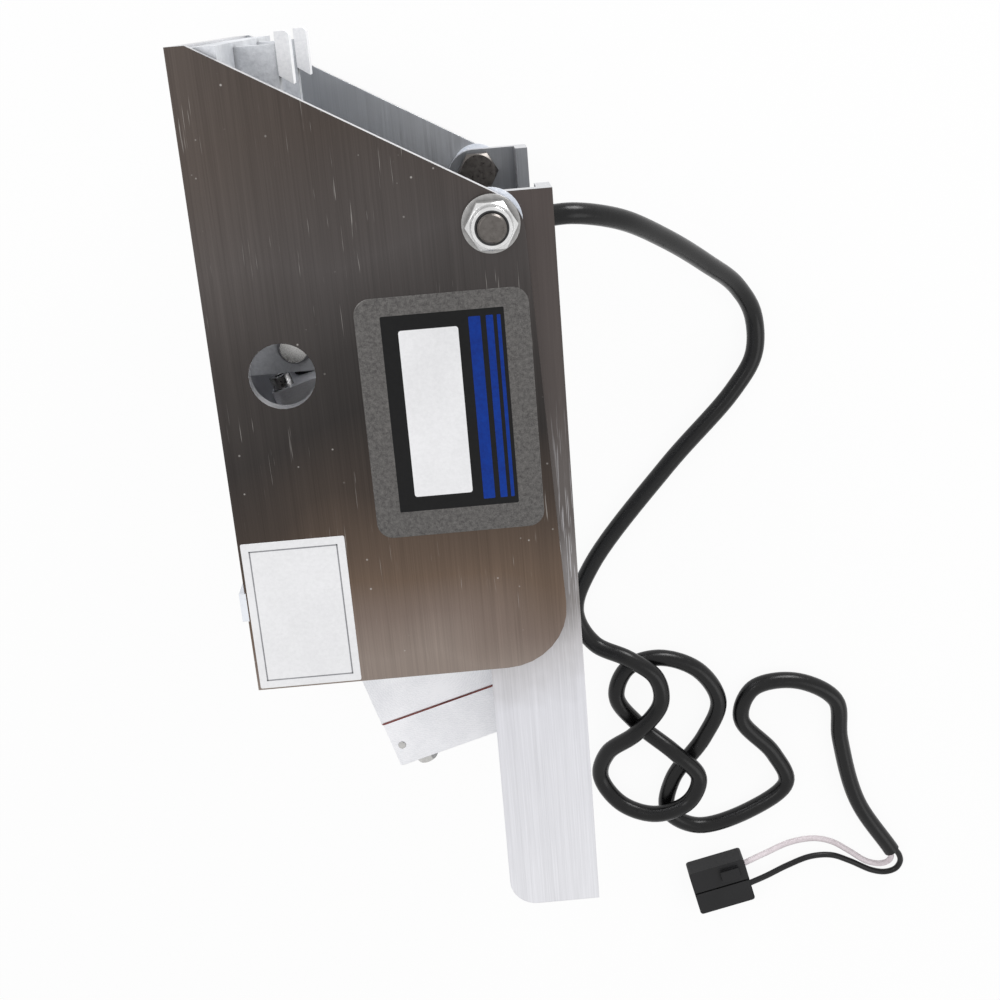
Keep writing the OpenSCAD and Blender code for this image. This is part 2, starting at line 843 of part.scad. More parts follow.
module inner_cable() {
    start = pin + turned([pump_x, gland_top], lean);
    bend = [for (k = [0 : bend_steps]) let (a = 180 + lean - k * (90 + lean) / bend_steps)
        [bend_at[0] + cable_bend_r * cos(a), bend_at[1] + cable_bend_r * sin(a), mid_z]];
    pts = concat([[start[0], start[1], mid_z]], bend, [[exit_x, exit_y, mid_z]]);
    color(black_col) on_table() tube(pts, cable_d, [-sin(lean), cos(lean), 0], [1, 0, 0]);
}

module power_cable() {
    pts = concat([[exit_x, exit_y, mid_z]], cable_route);
    n = len(pts);
    color(black_col) on_table() tube(pts, cable_d, [1, 0, 0], unit(pts[n - 1] - pts[n - 2]));
}

module lead(pts) {
    n = len(cable_route);
    first = unit(cable_route[n - 1] - cable_route[n - 2]);
    on_table() tube(pts, lead_d, first, [-cos(plug_turn), -sin(plug_turn), 0]);
}

module white_lead() {
    color(lead_col) lead(white_route);
}

module black_lead() {
    color(black_col) lead(black_route);
}

module at_plug() {
    on_table() translate(plug_c) rotate([0, 0, plug_turn]) children();
}

module connector_housing() {
    color(black_col) at_plug() difference() {
        union() {
            linear_extrude(plug_t) rounded(plug_l, plug_w, plug_r);
            translate([plug_l / 2 - latch_inset - latch_l, plug_pitch / 2 - latch_w / 2, 0])
                cube([latch_l, latch_w, plug_t + latch_h]);
        }
        for (s = [-1, 1]) translate([-plug_l / 2 - overrun,
            s * plug_pitch / 2 - cavity_w / 2, (plug_t - cavity_h) / 2])
            cube([cavity_l + overrun, cavity_w, cavity_h]);
        translate([-plug_l / 2 - overrun, -seam_w / 2, plug_t - seam_w])
            cube([plug_l + 2 * overrun, seam_w, plug_t]);
    }
}

module blade_terminals() {
    color(zinc_col) at_plug() for (s = [-1, 1])
        translate([-plug_l / 2 + cavity_l - blade_l, s * plug_pitch / 2 - blade_w / 2,
            (plug_t - blade_t) / 2]) cube([blade_l, blade_w, blade_t]);
}

transom_bracket();
trunnion_lugs();
trunnion_bushes();
hinge_bolts();
hinge_nuts();
hinge_washers();
nylon_washers();
edge_grommet();
inner_cable();
power_cable();
white_lead();
black_lead();
connector_housing();
blade_terminals();
motor_bracket();
backing_plate();
pin_saddle();
clamp_pads();
rub_strip();
web_screws();
pivot_pin();
pin_clips();
pin_spacers();
valve_block();
gland_cap();
cap_screws();
rod_wiper();
rod_seal();
end_gasket();
end_cap();
end_cap_bolts();
cap_plug();
trunnion_pins();
pump_motor();
pump_end_cap();
pump_screws();
cable_gland();
ram();
piston();
piston_seal();
rod_eye();
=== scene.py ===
import math

import bmesh
import bpy
from mathutils import Matrix, Vector


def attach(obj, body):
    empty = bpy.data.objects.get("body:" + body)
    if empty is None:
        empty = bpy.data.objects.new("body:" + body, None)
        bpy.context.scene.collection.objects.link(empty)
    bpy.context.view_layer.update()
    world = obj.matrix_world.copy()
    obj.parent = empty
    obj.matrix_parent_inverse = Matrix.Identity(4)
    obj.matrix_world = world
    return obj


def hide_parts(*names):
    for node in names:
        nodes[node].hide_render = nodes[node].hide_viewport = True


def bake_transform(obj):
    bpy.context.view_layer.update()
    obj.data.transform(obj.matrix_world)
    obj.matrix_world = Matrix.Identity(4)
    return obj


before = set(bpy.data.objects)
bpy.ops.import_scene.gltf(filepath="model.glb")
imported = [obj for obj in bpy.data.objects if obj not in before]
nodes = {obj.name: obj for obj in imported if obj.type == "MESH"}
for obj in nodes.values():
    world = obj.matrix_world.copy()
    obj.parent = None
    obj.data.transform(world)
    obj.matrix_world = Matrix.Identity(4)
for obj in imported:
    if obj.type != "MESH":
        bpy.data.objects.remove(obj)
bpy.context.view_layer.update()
scene = bpy.context.scene

# Places are written in millimetres about the hinge axis; at() turns them into the frame's metres
HINGE = (48.5, 125.0)   # where the axis stands in the frame
MID = 121.2             # height of the unit's middle plane above the table
PLATE_OUT = 105.0       # from the middle plane to the outer faces of the side plates


def at(x, y, z):
    """A point given about the hinge axis, with its height above the table, in metres."""
    return Vector(((x + HINGE[0]) / 1000, (y + HINGE[1]) / 1000, z / 1000))


# Camera, fitted to the vanishing points of the photo

LENS = 51.84
CAMERA_PLACE = (0.0346, 0.2101, 0.8153)
CAMERA_RIGHT = (0.99602, -0.07900, 0.04134)
CAMERA_BACK = (-0.01327, 0.32715, 0.94488)

cam_data = bpy.data.cameras.new("camera")
cam_data.lens = LENS
cam_data.sensor_width = 36
cam_data.clip_start = 0.01
camera = bpy.data.objects.new("camera", cam_data)
scene.collection.objects.link(camera)
right = Vector(CAMERA_RIGHT).normalized()
back = Vector(CAMERA_BACK).normalized()
up = back.cross(right).normalized()
turn = Matrix((right, up, back)).transposed().to_4x4()
camera.matrix_world = Matrix.Translation(CAMERA_PLACE) @ turn
scene.camera = camera

# Materials


def lin(r, g, b):
    """An sRGB colour from 0 to 255 as the linear colour that a shader takes."""
    def f(c):
        c = c / 255
        return c / 12.92 if c <= 0.04045 else ((c + 0.055) / 1.055) ** 2.4
    return (f(r), f(g), f(b), 1.0)


class Shade:
    """A node material and short ways to add nodes to it. Colours are given in sRGB, 0 to 255."""

    def __init__(self, name):
        self.mat = bpy.data.materials.new(name)
        self.mat.use_nodes = True
        self.t = self.mat.node_tree
        self.t.nodes.clear()
        self.out = self.t.nodes.new("ShaderNodeOutputMaterial")
        self.bsdf = self.add("BsdfPrincipled")
        self.t.links.new(self.bsdf.outputs[0], self.out.inputs["Surface"])
        self.coord = self.add("TexCoord").outputs["Object"]

    def add(self, kind, props=None, **inputs):
        """A new node. Inputs go by name, with _ for a space, or by number, as i0."""
        n = self.t.nodes.new("ShaderNode" + kind)
        for k, v in (props or {}).items():
            setattr(n, k, v)
        for k, v in inputs.items():
            self.put(n, int(k[1:]) if k[0] == "i" and k[1:].isdigit() else k.replace("_", " "), v)
        return n

    def put(self, n, key, v):
        if isinstance(v, bpy.types.NodeSocket):
            self.t.links.new(v, n.inputs[key])
        else:
            n.inputs[key].default_value = v

    def set(self, **inputs):
        for k, v in inputs.items():
            self.put(self.bsdf, k.replace("_", " "), v)

    def xyz(self):
        return self.add("SeparateXYZ", Vector=self.coord).outputs[:3]

    def scaled(self, sx, sy, sz, turn_z=0.0):
        m = self.add("Mapping", Vector=self.coord)
        m.inputs["Rotation"].default_value = (0, 0, turn_z)
        m.inputs["Scale"].default_value = (sx, sy, sz)
        return m.outputs[0]

    def noise(self, scale, detail=3.0, rough=0.55, vector=None):
        n = self.add("TexNoise", Vector=self.coord if vector is None else vector,
                     Scale=scale, Detail=detail, Roughness=rough)
        return n.outputs[0]

    def math(self, op, a, b=0.0):
        return self.add("Math", {"operation": op}, i0=a, i1=b).outputs[0]

    def times(self, a, b):
        return self.math("MULTIPLY", a, b)

    def blend(self, a, share, b):
        """A share of one value and the rest of another."""
        return self.math("ADD", self.times(a, share), self.times(b, 1 - share))

    def span(self, v, a, b, c=0.0, d=1.0):
        """The value as it goes from a to b, spread from c to d."""
        n = self.add("MapRange", Value=v)
        for k, x in (("From Min", a), ("From Max", b), ("To Min", c), ("To Max", d)):
            self.put(n, k, x)
        return n.outputs[0]

    def grain(self, noise, c, d):
        """A noise, which keeps near its middle, spread from c to d."""
        return self.span(noise, 0.3, 0.7, c, d)

    def brushed(self, lines, c, d):
        """A noise of brushed lines, which strays further, spread from c to d."""
        return self.span(lines, 0.25, 0.75, c, d)

    def ramp(self, v, stops):
        n = self.add("ValToRGB", Fac=v)
        els = n.color_ramp.elements
        while len(els) < len(stops):
            els.new(0.5)
        for e, (p, c) in zip(els, stops):
            e.position, e.color = p, lin(*c)
        return n.outputs[0]

    def mix(self, fac, a, b, blend="MIX"):
        n = self.add("Mix", {"data_type": "RGBA", "blend_type": blend}, i0=fac, i6=a, i7=b)
        return n.outputs[2]

    def gained(self, colour, v):
        """The colour, made darker or lighter by a value."""
        grey = self.add("CombineColor", i0=v, i1=v, i2=v).outputs[0]
        return self.mix(1.0, colour, grey, "MULTIPLY")

    def bump(self, height, strength, distance=0.0001, bevel=0.0):
        """A bumpy surface, with its sharp edges rounded in the shading."""
        n = self.add("Bump", Height=height, Strength=strength, Distance=distance)
        if bevel:
            b = self.add("Bevel", {"samples": 4}, Radius=bevel)
            self.t.links.new(b.outputs[0], n.inputs["Normal"])
        self.t.links.new(n.outputs[0], self.bsdf.inputs["Normal"])

    def scratches(self, angle, level):
        """Fine straight scratches, all about one way."""
        n = self.noise(1.0, 2.0, 0.5, self.scaled(1400, 40, 1400, angle))
        return self.span(n, level, level + 0.05)

    def painted_corner_shade(self, colour):
        """The colour with painted shade: darker in corners and crevices, by ambient occlusion."""
        ao = self.add("AmbientOcclusion", {"samples": 6}, Distance=0.004).outputs["AO"]
        return self.gained(colour, self.span(ao, 0.25, 0.85, 0.3, 1.0))

    def flat_faces(self):
        """1 on faces that lie level, 0 on upright ones."""
        n = self.add("NewGeometry").outputs["Normal"]
        z = self.add("SeparateXYZ", Vector=n).outputs[2]
        return self.span(self.math("ABSOLUTE", z), 0.6, 0.95)


EDGE = 0.0004   # how far the shading rounds the edge of a metal piece, in metres


def metal(name, dark, light, rough, metallic=1.0, grain=900.0, bump=0.12, distance=0.0001):
    """Bare metal: slow blotches of colour, a fine grain and a worn roughness."""
    s = Shade(name)
    slow, fine = s.noise(18.0, 4.0), s.noise(grain, 4.0, 0.7)
    tone = s.ramp(s.blend(slow, 0.6, fine), [(0.36, dark), (0.62, light)])
    # The tone takes painted shade in its corners
    s.set(Base_Color=s.painted_corner_shade(tone), Metallic=metallic, Roughness=s.grain(fine, *rough))
    s.bump(fine, bump, distance, EDGE)
    return s.mat


def plastic(name, dark, light, rough, grain=700.0, bump=0.15, specular=0.5, bevel=0.0003):
    """Moulded plastic, rubber, paint or print."""
    s = Shade(name)
    slow, fine = s.noise(25.0, 3.0), s.noise(grain, 3.0, 0.6)
    s.set(Base_Color=s.ramp(s.blend(slow, 0.55, fine), [(0.36, dark), (0.64, light)]),
          Roughness=s.grain(fine, *rough), Specular_IOR_Level=specular)
    s.bump(fine, bump, bevel=bevel)
    return s.mat


def ink(name, dark, light, rough=(0.3, 0.45), specular=0.5):
    """Print or plain label stock."""
    return plastic(name, dark, light, rough, bump=0.05, specular=specular, bevel=0.0)


# Where the tones of the two brackets change, in metres in the frame
PLATE_Y = (-0.074, 0.203)           # foot and head of the side plates
NEAR_PLATE_Z = (0.2185, 0.2195)     # all above this is the near side plate
LEG_Y = (-0.195, 0.136)             # foot and head of the transom bracket's legs
FAR_LEG_Z = (0.13, 0.11)            # all below this is the far leg


def plate_material():
    """Brushed sheet: fine lines along Y, a slow change of tone with height that is partly painted
    reflection, specks and scratches.
    """
    s = Shade("brushed_sheet")
    x, y, z = s.xyz()
    wave = s.grain(s.noise(7.0, 2.0), -0.09, 0.09)
    # The tone along the plates' height is the sheet's own dark colour with painted reflection
    tone = s.ramp(s.math("ADD", s.span(y, *PLATE_Y), wave), [
        (0.0, (140, 128, 120)), (0.05, (122, 108, 100)), (0.13, (104, 88, 76)),
        (0.26, (68, 60, 55)), (0.38, (52, 49, 48)), (0.5, (58, 55, 54)),
        (0.66, (78, 74, 73)), (0.86, (74, 67, 63)), (1.0, (72, 65, 61))])
    # Lighter towards the web's edge in the upper half: painted reflection
    side = s.times(s.span(x, -0.02, -0.065), s.span(y, -0.02, 0.12))
    tone = s.mix(s.times(side, 0.15), tone, lin(116, 106, 100))
    lines = s.noise(1.0, 6.0, 0.75, s.scaled(1500, 12, 1500))
    broad = s.noise(1.0, 3.0, 0.6, s.scaled(260, 3, 260))
    near = s.gained(tone, s.math("ADD", s.brushed(lines, 0.8, 1.14), s.grain(broad, -0.05, 0.05)))
    # Specks and short scratches
    hair = s.times(s.scratches(0.7, 0.68), s.span(s.noise(26, 2), 0.5, 0.6))
    dots = s.add("TexVoronoi", Vector=s.coord, Scale=170.0).outputs[0]
    spot = s.times(s.span(dots, 0.1, 0.05), s.span(s.noise(60, 2), 0.55, 0.62))
    marks = s.math("MAXIMUM", s.times(hair, 0.35), s.times(spot, 0.55))
    near = s.mix(marks, near, lin(190, 186, 182))
    # The far plate's inner face is painted a lighter grey than the near face, a lit copy of the
    # same sheet; the upright faces, the web and the plates' edges, take a painted highlight
    far = s.ramp(s.noise(9.0, 3.0), [(0.3, (150, 153, 158)), (0.7, (182, 184, 188))])
    far = s.gained(far, s.brushed(lines, 0.86, 1.12))
    # Painted highlight for the upright faces: the web and the plates' edges
    web = s.ramp(s.noise(9.0, 2.0), [(0.3, (206, 206, 209)), (0.7, (222, 222, 225))])
    web = s.gained(web, s.brushed(lines, 0.86, 1.05))
    face = s.mix(s.span(z, *NEAR_PLATE_Z), far, near)
    s.set(Base_Color=s.mix(s.flat_faces(), web, face), Metallic=0.9,
          Roughness=s.brushed(lines, 0.3, 0.5))
    s.bump(lines, 0.1, bevel=EDGE)
    return s.mat


def leg_material():
    """The transom bracket: dark and brushed above and silver below, a painted reflection on the
    sheet's own tone, scratched between, with a painted highlight on its upright faces.
    """
    s = Shade("bracket_sheet")
    _, y, z = s.xyz()
    lines = s.noise(1.0, 6.0, 0.75, s.scaled(1300, 14, 1300))
    slow = s.noise(14.0, 4.0)
    # The tone along the legs' height is their own colour with painted reflection
    tone = s.ramp(s.math("ADD", s.span(y, *LEG_Y), s.grain(slow, -0.05, 0.05)), [
        (0.0, (224, 224, 228)), (0.3, (216, 216, 221)), (0.38, (190, 188, 190)),
        (0.46, (140, 136, 135)), (0.56, (100, 95, 93)), (0.75, (84, 78, 76)),
        (1.0, (80, 73, 71))])
    worn = s.times(s.span(y, -0.1, -0.03), s.span(y, 0.05, -0.01))
    hair = s.times(s.math("MAXIMUM", s.scratches(-0.6, 0.6), s.scratches(0.9, 0.62)), worn)
    tone = s.mix(s.times(hair, 0.35), tone, lin(232, 232, 236))
    # The far leg is seen from its inner side, in the shade of the near one
    inner = s.ramp(slow, [(0.3, (122, 124, 128)), (0.7, (148, 150, 154))])
    face = s.gained(s.mix(s.span(z, *FAR_LEG_Z), tone, inner), s.brushed(lines, 0.86, 1.12))
    # Upright faces, the legs' edges, take a painted highlight
    edge = s.ramp(slow, [(0.3, (204, 205, 208)), (0.7, (218, 219, 222))])
    edge = s.gained(edge, s.brushed(lines, 0.88, 1.06))
    s.set(Base_Color=s.mix(s.flat_faces(), edge, face), Metallic=0.85,
          Roughness=s.brushed(lines, 0.32, 0.5))
    s.bump(lines, 0.1, bevel=EDGE)
    return s.mat


def milled_material(name, dark, light, centre):
    """A milled face: faint arcs left by the cutter, about a centre given in metres."""
    s = Shade(name)
    m = s.add("Mapping", Vector=s.coord)
    m.inputs["Location"].default_value = (-centre[0], -centre[1], 0)
    arcs = s.add("TexWave", {"wave_type": "RINGS", "rings_direction": "Z"}, Vector=m.outputs[0],
                 Scale=260.0, Distortion=9.0, Detail=4.0, Detail_Scale=3.0).outputs[1]
    slow, fine = s.noise(35.0, 4.0), s.noise(1400.0, 3.0)
    tone = s.ramp(s.blend(arcs, 0.16, slow), [(0.3, dark), (0.62, light)])
    s.set(Base_Color=tone, Metallic=0.75, Roughness=s.grain(fine, 0.34, 0.46))
    s.bump(arcs, 0.1, 0.00004, 0.0005)
    return s.mat


def film_material():
    """Silver label film with a fine sparkle."""
    s = Shade("silver_film")
    spark, fine = s.noise(2600.0, 2.0, 0.8), s.noise(600.0, 4.0)
    tone = s.ramp(s.blend(spark, 0.6, fine), [(0.36, (66, 64, 64)), (0.64, (112, 110, 108))])
    s.set(Base_Color=tone, Metallic=0.7, Roughness=s.grain(spark, 0.3, 0.55))
    s.bump(spark, 0.25, 0.00005)
    return s.mat


SHEET, LEG = plate_material(), leg_material()
BLOCK = milled_material("milled_block", (226, 227, 231), (246, 246, 249), (0.0, -0.10))
END = milled_material("milled_cap", (226, 227, 231), (246, 246, 249), (0.03, -0.02))
CAST = metal("cast_alloy", (184, 187, 192), (224, 226, 230), (0.4, 0.6), metallic=0.35,
             grain=420.0, bump=0.4, distance=0.0003)
STEEL = metal("stainless", (176, 175, 173), (206, 205, 203), (0.2, 0.32), grain=500.0, bump=0.06)
NUT = metal("bright_stainless", (206, 206, 206), (232, 232, 232), (0.16, 0.28), grain=500.0,
            bump=0.05)
WASHER = metal("washer_stainless", (150, 149, 148), (186, 185, 184), (0.28, 0.4), grain=500.0,
               bump=0.06)
THREAD = metal("bolt_stainless", (84, 80, 77), (112, 108, 105), (0.25, 0.4), grain=500.0,
               bump=0.1)
CHROME = metal("chrome", (196, 198, 202), (232, 233, 236), (0.06, 0.14), bump=0.03)
SPRING = metal("spring_steel", (120, 120, 124), (152, 152, 156), (0.3, 0.45))
BRONZE = metal("bronze", (138, 100, 52), (184, 142, 84), (0.35, 0.5))
TINNED = metal("tinned_brass", (178, 164, 120), (216, 206, 170), (0.25, 0.4))
NYLON = plastic("nylon", (206, 214, 226), (240, 243, 249), (0.3, 0.45))
PAD = plastic("white_pad", (228, 229, 232), (248, 248, 250), (0.4, 0.55))
GASKET = plastic("gasket", (104, 48, 44), (150, 84, 78), (0.6, 0.8), bump=0.3)
RUBBER = plastic("black_rubber", (22, 22, 23), (40, 40, 42), (0.5, 0.7), bump=0.3)
PAINT = plastic("painted_can", (24, 25, 27), (40, 41, 44), (0.25, 0.4), grain=300.0, bump=0.25)
JACKET = plastic("cable_jacket", (6, 6, 7), (15, 15, 16), (0.2, 0.34), grain=420.0, bump=0.25,
                 specular=0.3, bevel=0.0)
WHITE_WIRE = plastic("white_insulation", (206, 196, 200), (236, 226, 230), (0.35, 0.5),
                     bevel=0.0)
BLACK_WIRE = plastic("black_insulation", (8, 8, 9), (20, 20, 22), (0.25, 0.4), specular=0.3,
                     bevel=0.0)
HOUSING = plastic("connector_plastic", (12, 12, 13), (26, 26, 28), (0.42, 0.6), grain=900.0,
                  bump=0.25, specular=0.3)
BLACK_INK = ink("black_print", (6, 6, 7), (14, 14, 15), specular=0.2)
BLUE_INK = ink("blue_print", (0, 40, 122), (2, 56, 150), specular=0.2)
WHITE_INK = ink("white_print", (230, 230, 232), (242, 242, 244))
GREY_INK = ink("grey_print", (120, 120, 124), (150, 150, 154), (0.35, 0.5))
FILM = film_material()

# Every CAD node's material, also of those that a piece of this scene stands for
DRESS = {
    SHEET: ["motor_bracket"],
    LEG: ["transom_bracket"],
    BLOCK: ["valve_block", "gland_cap"],
    END: ["end_cap"],
    CAST: ["trunnion_lugs", "backing_plate", "pin_saddle", "piston", "pump_end_cap", "rod_eye"],
    THREAD: ["hinge_bolts"],
    NUT: ["hinge_nuts"],
    WASHER: ["hinge_washers"],
    STEEL: ["web_screws", "pivot_pin", "cap_screws", "end_cap_bolts", "cap_plug",
            "trunnion_pins", "pump_screws"],
    CHROME: ["ram"],
    SPRING: ["pin_clips"],
    BRONZE: ["trunnion_bushes"],
    TINNED: ["blade_terminals"],
    NYLON: ["nylon_washers", "pin_spacers", "rub_strip"],
    PAD: ["clamp_pads"],
    GASKET: ["end_gasket"],
    RUBBER: ["edge_grommet", "rod_wiper", "rod_seal", "piston_seal", "cable_gland"],
    PAINT: ["pump_motor"],
    JACKET: ["inner_cable", "power_cable"],
    WHITE_WIRE: ["white_lead"],
    BLACK_WIRE: ["black_lead"],
    HOUSING: ["connector_housing"],
}
for material, names in DRESS.items():
    for name in names:
        o = nodes[name]
        if not o.material_slots:
            o.data.materials.append(None)
        for slot in o.material_slots:
            slot.link = "OBJECT"
            slot.material = material

# Cords


def smooth(points, per=10):
    """Points of a round curve (centripetal Catmull-Rom) through the given ones."""
    p = [2 * points[0] - points[1], *points, 2 * points[-1] - points[-2]]
    out = []
    for i in range(1, len(p) - 2):
        a, b, c, d = p[i - 1:i + 3]
        t0 = 0.0
        t1 = (b - a).length ** 0.5
        t2 = t1 + (c - b).length ** 0.5
        t3 = t2 + (d - c).length ** 0.5
        for k in range(per):
            t = t1 + (t2 - t1) * k / per
            a1 = a * ((t1 - t) / (t1 - t0)) + b * ((t - t0) / (t1 - t0))
            a2 = b * ((t2 - t) / (t2 - t1)) + c * ((t - t1) / (t2 - t1))
            a3 = c * ((t3 - t) / (t3 - t2)) + d * ((t - t2) / (t3 - t2))
            b1 = a1 * ((t2 - t) / (t2 - t0)) + a2 * ((t - t0) / (t2 - t0))
            b2 = a2 * ((t3 - t) / (t3 - t1)) + a3 * ((t - t1) / (t3 - t1))
            out.append(b1 * ((t2 - t) / (t2 - t1)) + b2 * ((t - t1) / (t2 - t1)))
    return [*out, points[-1]]


def cord_curve(name, points, diameter, material):
    data = bpy.data.curves.new(name, "CURVE")
    data.dimensions = "3D"
    data.bevel_depth = diameter / 2
    data.bevel_resolution = 6
    data.use_fill_caps = True
    spline = data.splines.new("POLY")
    spline.points.add(len(points) - 1)
    for p, co in zip(spline.points, points):
        p.co = (*co, 1.0)
    data.materials.append(material)
    o = bpy.data.objects.new(name, data)
    scene.collection.objects.link(o)
    return o


# The routes of part.scad, in millimetres, and the cords' diameters, in metres
CABLE_WIDE = 0.0104
LEAD_WIDE = 0.0038
CABLE_EXIT = (28.5, -14.044, MID)
cable_route = [
    CABLE_EXIT, (42, -14, 120), (66, -21, 104), (92, -37, 75), (119, -58, 42), (140, -77, 18),
    (151, -97, 7), (151, -120, 5.2), (138, -141, 5.2), (98, -183, 5.2), (49, -243, 5.2),
    (38, -272, 5.2), (48, -293, 8), (68, -302, 15.6), (84, -316, 16.6), (86, -334, 16.6),
    (70, -353, 16.4), (52, -369, 9), (47, -388, 5.2), (59, -406, 10), (80, -412, 16.2),
    (101, -405, 16.6), (108, -388, 16.6), (94, -370, 15.6), (72, -352, 5.2), (60, -332, 5.2),
    (68, -313, 5.2), (88, -308, 5.2), (112, -319, 5.2), (124, -342, 5.2), (114, -366, 5.2),
    (93, -394, 5.2), (89, -417, 5.2), (108, -430, 5.2), (144, -421, 5.2), (166, -404, 5.2),
    (158, -382, 5.2), (138, -355, 5.2), (146, -335, 5.2), (172, -332, 5.2), (198, -348, 5.2),
    (201, -376, 5.2), (212, -422, 5.2), (235, -462, 5.2)]
white_route = [
    (233.2, -463, 5.2), (235, -467, 4.4), (233.6, -471.4, 3.2), (229, -473.6, 2.2),
    (220, -471.4, 1.9), (207, -461.4, 1.9), (196, -453.6, 1.9), (184, -450, 1.9),
    (168, -451, 2.6), (152, -455.6, 5), (137.2, -460.5, 7)]
black_route = [
    (236.8, -461, 5.2), (240.4, -467, 4.4), (241.4, -473, 3.2), (238.6, -478.6, 2.2),
    (232, -480.6, 1.9), (223, -478.4, 1.9), (208, -469.6, 1.9), (196, -464, 1.9),
    (182, -463.6, 1.9), (166, -468.4, 2.8), (152, -473.2, 5), (140.8, -476.1, 7)]

cable_points = smooth([at(*p) for p in cable_route])
cable = cord_curve("cable", cable_points, CABLE_WIDE, JACKET)
white_points = smooth([at(*p) for p in white_route], 8)
white = cord_curve("lead_white", white_points, LEAD_WIDE, WHITE_WIRE)
black_points = smooth([at(*p) for p in black_route], 8)
black = cord_curve("lead_black", black_points, LEAD_WIDE, BLACK_WIRE)
for o, node_name, slot in ((cable, "power_cable", "cable_jacket"),
                           (white, "white_lead", "white_insulation"),
                           (black, "black_lead", "black_insulation")):
    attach(o, "transom_side")
    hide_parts(node_name)

# Pieces


def new_piece(name, bm, material, body, shade_smooth=False):
    """A piece from a bmesh. It rides on a body, or on none."""
    mesh = bpy.data.meshes.new(name)
    bmesh.ops.recalc_face_normals(bm, faces=bm.faces)
    bm.to_mesh(mesh)
    bm.free()
    mesh.materials.append(material)
    if shade_smooth:
        mesh.polygons.foreach_set("use_smooth", [True] * len(mesh.polygons))
    o = bpy.data.objects.new(name, mesh)
    scene.collection.objects.link(o)
    if body:
        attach(o, body)
    return o


def join(bm, a, b):
    """Faces between two closed rows of points."""
    for k in range(len(a)):
        n = (k + 1) % len(a)
        bm.faces.new((a[k], a[n], b[n], b[k]))


def tube(points, radius, sides=20):
    """A tube mesh that follows the points, with closed ends."""
    bm = bmesh.new()
    side = Vector((0, 0, 1))
    rings = []
    for i, p in enumerate(points):
        d = (points[min(i + 1, len(points) - 1)] - points[max(i - 1, 0)]).normalized()
        u = (side - d * side.dot(d)).normalized()
        v = d.cross(u)
        turns = [2 * math.pi * k / sides for k in range(sides)]
        rings.append([bm.verts.new(p + radius * (u * math.cos(a) + v * math.sin(a)))
                      for a in turns])
    for a, b in zip(rings, rings[1:]):
        join(bm, a, b)
    bm.faces.new(rings[0])
    bm.faces.new(rings[-1][::-1])
    return bm


# The stretch of cable from the pump's gland, round a bend, to the notch in the transom web
GLAND_END = (-31.54, -78.195, MID)
BEND_AT = (5.801, -56.044)
BEND_R = 42
BEND_ANGLES = range(196, 89, -6)
bend = [(BEND_AT[0] + BEND_R * math.cos(math.radians(a)),
         BEND_AT[1] + BEND_R * math.sin(math.radians(a)), MID) for a in BEND_ANGLES]
inner = [at(*p) for p in (GLAND_END, *bend, CABLE_EXIT)]
inside = new_piece("cable_inside", tube(inner, CABLE_WIDE / 2), JACKET, None, True)
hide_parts("inner_cable")
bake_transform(inside)


def outline(x0, y0, x1, y1, r, steps=8):
    """A rectangle with round corners, about the hinge axis."""
    corners = ((x1 - r, y1 - r), (x0 + r, y1 - r), (x0 + r, y0 + r), (x1 - r, y0 + r))
    pts = []
    for quarter, (cx, cy) in enumerate(corners):
        for k in range(steps + 1):
            a = math.radians(90 * quarter + 90 * k / steps)
            pts.append((cx + r * math.cos(a), cy + r * math.sin(a)))
    return pts


def decal(name, pts, lift, thick, material, edge=0.0):
    """A thin sheet on the near plate's outer face, with its rim turned down."""
    bm = bmesh.new()
    z0 = MID + PLATE_OUT + lift
    cx, cy = sum(p[0] for p in pts) / len(pts), sum(p[1] for p in pts) / len(pts)
    low = [bm.verts.new(at(x, y, z0)) for x, y in pts]
    mid = [bm.verts.new(at(x, y, z0 + thick * 0.6)) for x, y in pts]
    top = [bm.verts.new(at(x + (cx - x) * edge, y + (cy - y) * edge, z0 + thick))
           for x, y in pts]
    join(bm, low, mid)
    join(bm, mid, top)
    bm.faces.new(top)
    bm.faces.new(low[::-1])
    return new_piece(name, bm, material, "motor_side")


# Labels, from the plate outwards: how high each layer starts and how thick it is
LABEL_LIFT = 0.02
FILM_THICK, PANEL_THICK, PRINT_THICK = 0.22, 0.06, 0.05
WHITE_THICK, LINE_THICK = 0.2, 0.04
PANEL_LIFT = LABEL_LIFT + FILM_THICK
PRINT_LIFT = PANEL_LIFT + PANEL_THICK
RIM = 0.004         # how far a label's top draws in, as a share
BANDS = ((-12.5, -7.5), (-5.2, -2.2), (-0.6, 0.9))
BAND_Y = (-117.5, -37.5)
FRAME_X, FRAME_Y, FRAME_LINE = (-116.6, -77.8), (-194.8, -132.4), 0.6

decal("label_silver", outline(-59.6, -131.9, 13.2, -26.6, 7), LABEL_LIFT, FILM_THICK, FILM,
      RIM)
decal("label_panel", outline(-49, -120.5, 2.5, -34.5, 0.6), PANEL_LIFT, PANEL_THICK, BLACK_INK)
decal("label_field", outline(-42, -114, -17, -41, 1.2), PRINT_LIFT, PRINT_THICK, WHITE_INK)
for i, (x0, x1) in enumerate(BANDS):
    decal("label_band_%d" % i, outline(x0, BAND_Y[0], x1, BAND_Y[1], 0.4), PRINT_LIFT,
          PRINT_THICK, BLUE_INK)
decal("label_white", outline(-119.9, -198.3, -74.5, -128.8, 0.8), LABEL_LIFT, WHITE_THICK,
      WHITE_INK, edge=RIM)
(x0, x1), (y0, y1) = FRAME_X, FRAME_Y
for name, box in (("top", (x0, y1 - FRAME_LINE, x1, y1)), ("foot", (x0, y0, x1, y0 + FRAME_LINE)),
                  ("left", (x0, y0, x0 + FRAME_LINE, y1)),
                  ("right", (x1 - FRAME_LINE, y0, x1, y1))):
    decal("label_line_" + name, outline(*box, 0.05, 2), LABEL_LIFT + WHITE_THICK, LINE_THICK,
          GREY_INK)


